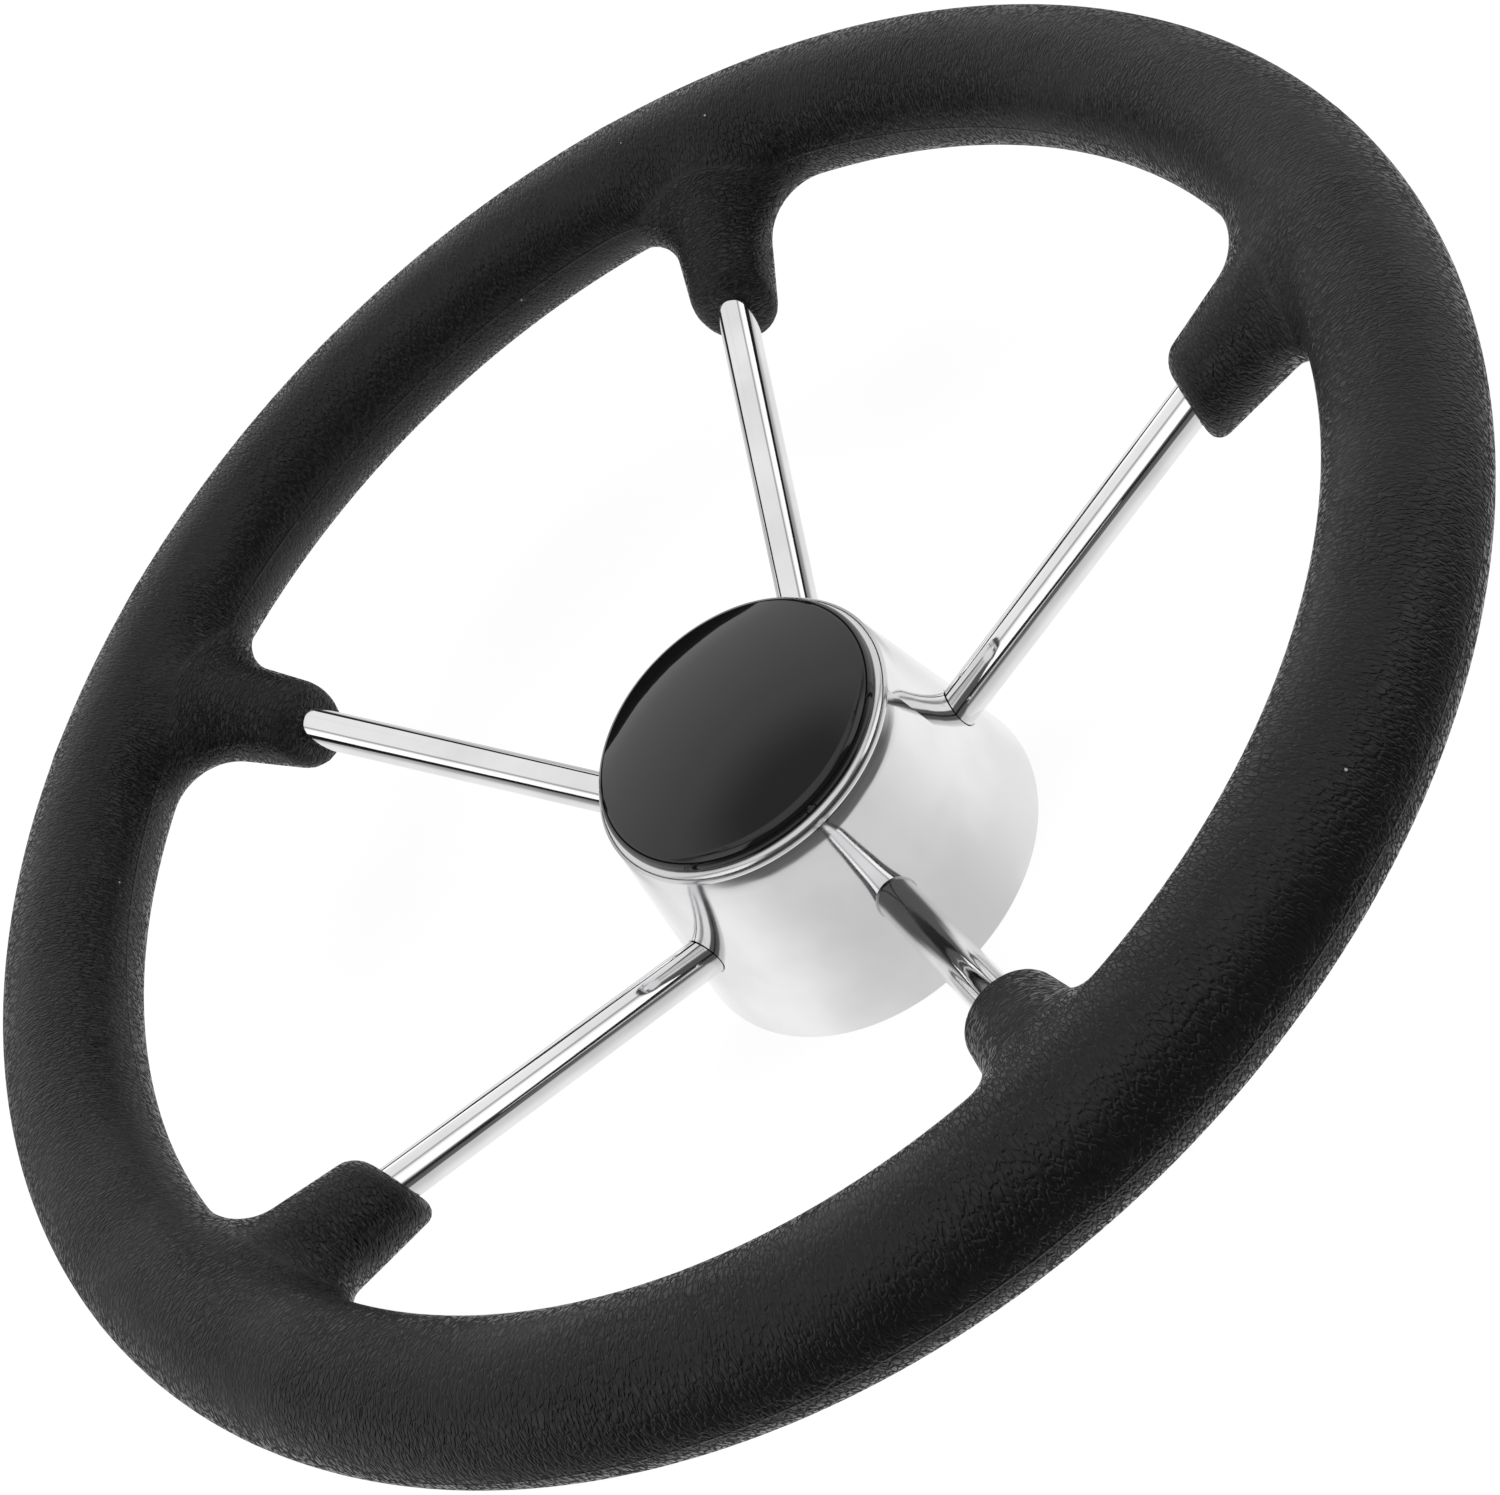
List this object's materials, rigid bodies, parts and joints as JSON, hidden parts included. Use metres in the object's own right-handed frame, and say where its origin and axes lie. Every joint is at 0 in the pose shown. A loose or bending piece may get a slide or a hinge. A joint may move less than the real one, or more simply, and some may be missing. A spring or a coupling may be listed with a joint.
{
  "type": "boat steering wheel",
  "caption": "Dished boat steering wheel with a round foam grip on a steel ring, straight polished rod spokes and a conical hub under a domed cap.",
  "frame": {"origin": "centre of the hub's open back edge, the plane the wheel stands on", "axes": "+Z along the shaft axis towards the driver, +Y along spoke_1"},
  "size_m": [0.343, 0.343, 0.0932],
  "materials": {
    "grip_foam": "self-skinned foam with a fine leather grain",
    "ring_steel": "mill finish bar",
    "polished_steel": "mirror polished stainless rod",
    "polished_shell": "polished spun stainless sheet",
    "turned_steel": "turned stainless",
    "nut_steel": "satin stainless",
    "cap_plastic": "gloss black moulding"
  },
  "bodies": {
    "root": {"foam_grip": "grip_foam", "rim_ring": "ring_steel", "spoke_1": "polished_steel", "spoke_2": "polished_steel", "spoke_3": "polished_steel", "spoke_4": "polished_steel", "spoke_5": "polished_steel", "hub_shell": "polished_shell", "hub_boss": "turned_steel", "shaft_nut": "nut_steel", "centre_cap": "cap_plastic"}
  },
  "joints": []
}
